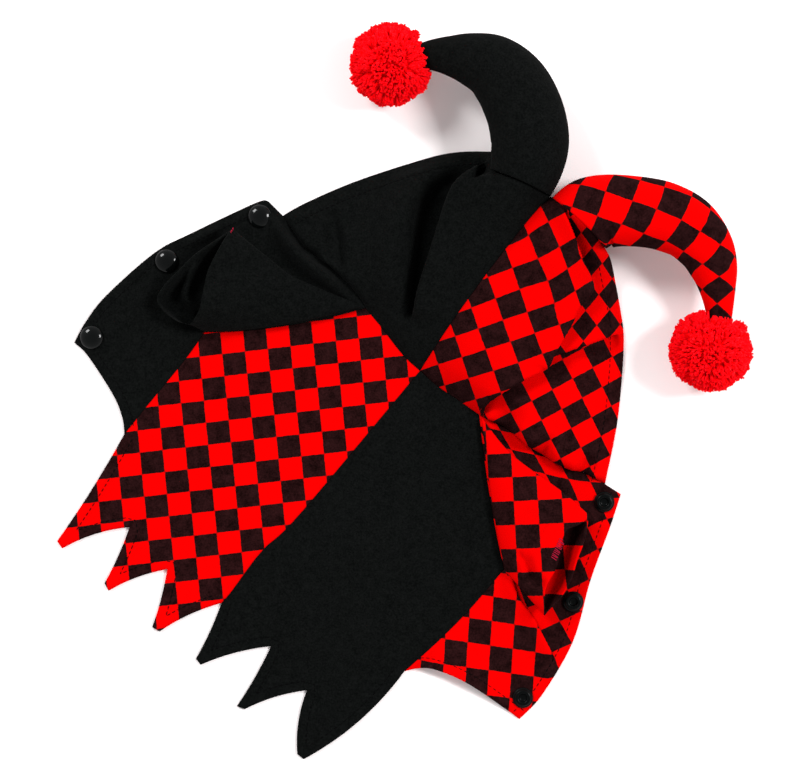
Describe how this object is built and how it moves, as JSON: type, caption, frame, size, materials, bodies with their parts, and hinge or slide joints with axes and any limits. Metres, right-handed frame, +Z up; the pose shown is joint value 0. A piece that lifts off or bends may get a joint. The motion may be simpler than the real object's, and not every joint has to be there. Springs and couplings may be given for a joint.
{
  "type": "pet jester costume",
  "caption": "Hooded pet jester costume in black and checked cloth with stuffed horns, pompoms and a zigzag hem, laid flat.",
  "frame": {"origin": "on the surface that the costume lies on, at the middle of its box", "axes": "+X to the right and +Y towards the horns as laid out, +Z up from the surface"},
  "size_m": [0.3613, 0.3823, 0.0488],
  "materials": {
    "check_cloth": "brushed polyester knit printed with a red and near-black check of half-inch squares",
    "black_cloth": "brushed black polyester knit with a soft felt-like nap",
    "yarn": "fluffy red acrylic yarn, cut ends",
    "snap_plastic": "glossy black resin snap fasteners"
  },
  "bodies": {
    "root": {"back_left": "check_cloth", "back_right": "black_cloth", "belly_left": "black_cloth", "belly_right": "check_cloth", "hood_left": "black_cloth", "hood_right": "check_cloth", "sleeve_left": "black_cloth", "sleeve_right": "check_cloth", "horn_left": "black_cloth", "horn_right": "check_cloth", "pompom_left": "yarn", "pompom_right": "yarn", "snap_cap_1": "snap_plastic", "snap_cap_2": "snap_plastic", "snap_cap_3": "snap_plastic", "snap_socket_1": "snap_plastic", "snap_socket_2": "snap_plastic", "snap_socket_3": "snap_plastic"}
  },
  "joints": []
}
